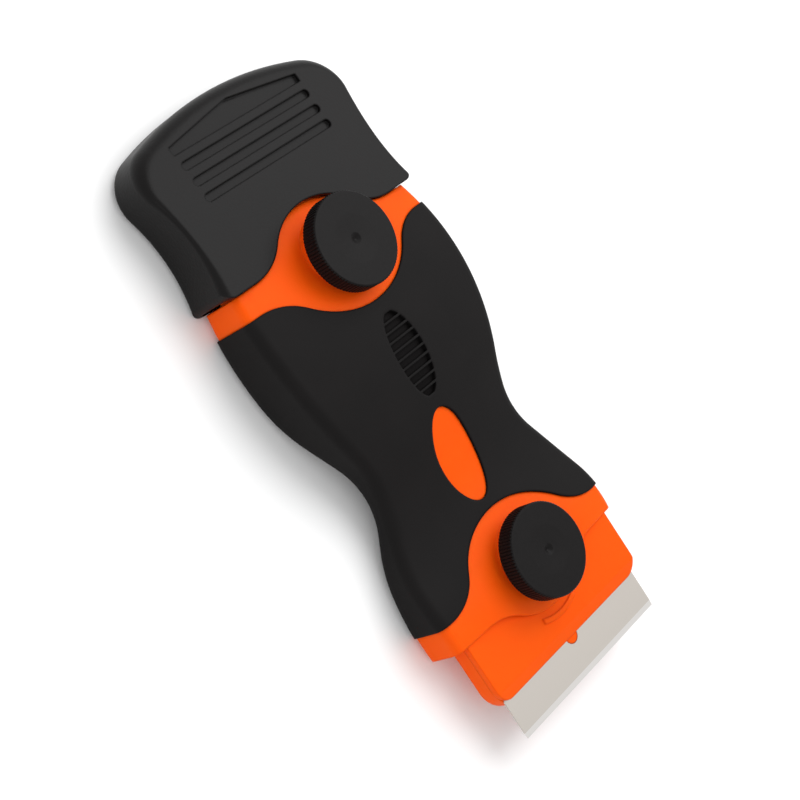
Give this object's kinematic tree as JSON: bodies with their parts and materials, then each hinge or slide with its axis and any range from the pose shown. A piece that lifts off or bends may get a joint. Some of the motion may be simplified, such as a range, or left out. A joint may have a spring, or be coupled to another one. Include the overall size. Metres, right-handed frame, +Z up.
{
  "type": "blade scraper",
  "caption": "Double-ended hob scraper: waisted handle with a soft grip, a clamped razor blade clip at each end, knurled clamp knobs and a slip-on blade cap.",
  "frame": {"origin": "under the middle of the whole length and width, on the plane that the scraper lies on", "axes": "+X across the blade, +Y along the handle towards the cap, +Z up through the clamp knobs"},
  "size_m": [0.048, 0.1168, 0.0175],
  "materials": {
    "orange_plastic": "moulded, satin",
    "grip_rubber": "soft-touch, fine texture",
    "knob_plastic": "moulded, satin",
    "cap_plastic": "moulded, fine spark texture",
    "blade_steel": "ground",
    "plated_steel": "zinc plated"
  },
  "bodies": {
    "handle": {"handle_core": "orange_plastic", "grip_sleeve": "grip_rubber", "front_nut": "plated_steel", "rear_nut": "plated_steel"},
    "front_lift": {"front_washer": "plated_steel"},
    "front_clamp": {"front_knob": "knob_plastic", "front_stud": "plated_steel"},
    "rear_lift": {"rear_washer": "plated_steel"},
    "rear_clamp": {"rear_knob": "knob_plastic", "rear_stud": "plated_steel"},
    "front_clip": {"front_upper_jaw": "orange_plastic", "front_lower_jaw": "orange_plastic", "front_blade": "blade_steel"},
    "rear_clip": {"rear_upper_jaw": "orange_plastic", "rear_lower_jaw": "orange_plastic", "rear_blade": "blade_steel"},
    "cap": {"blade_cap": "cap_plastic"}
  },
  "joints": [
    {"name": "front_knob_lift", "type": "slide", "parent": "handle", "child": "front_lift", "axis": [0, 0, 1], "range_m": [0, 0.0016]},
    {"name": "front_knob_turn", "type": "hinge", "parent": "front_lift", "child": "front_clamp", "pos_m": [0, -0.0352, 0], "axis": [0, 0, 1], "range_deg": [0, 720]},
    {"name": "rear_knob_lift", "type": "slide", "parent": "handle", "child": "rear_lift", "axis": [0, 0, 1], "range_m": [0, 0.0016]},
    {"name": "rear_knob_turn", "type": "hinge", "parent": "rear_lift", "child": "rear_clamp", "pos_m": [0, 0.0253, 0], "axis": [0, 0, 1], "range_deg": [0, 720]},
    {"name": "front_clip_slide", "type": "slide", "parent": "handle", "child": "front_clip", "axis": [0, -1, 0], "range_m": [0, 0.016]},
    {"name": "rear_clip_slide", "type": "slide", "parent": "handle", "child": "rear_clip", "axis": [0, 1, 0], "range_m": [0, 0.016]},
    {"name": "cap_slide", "type": "slide", "parent": "rear_clip", "child": "cap", "axis": [0, 1, 0], "range_m": [0, 0.03]}
  ],
  "couplings": [
    {"joint": "front_knob_turn", "follows": "front_knob_lift", "rad_per_m": 7854},
    {"joint": "rear_knob_turn", "follows": "rear_knob_lift", "rad_per_m": 7854}
  ]
}
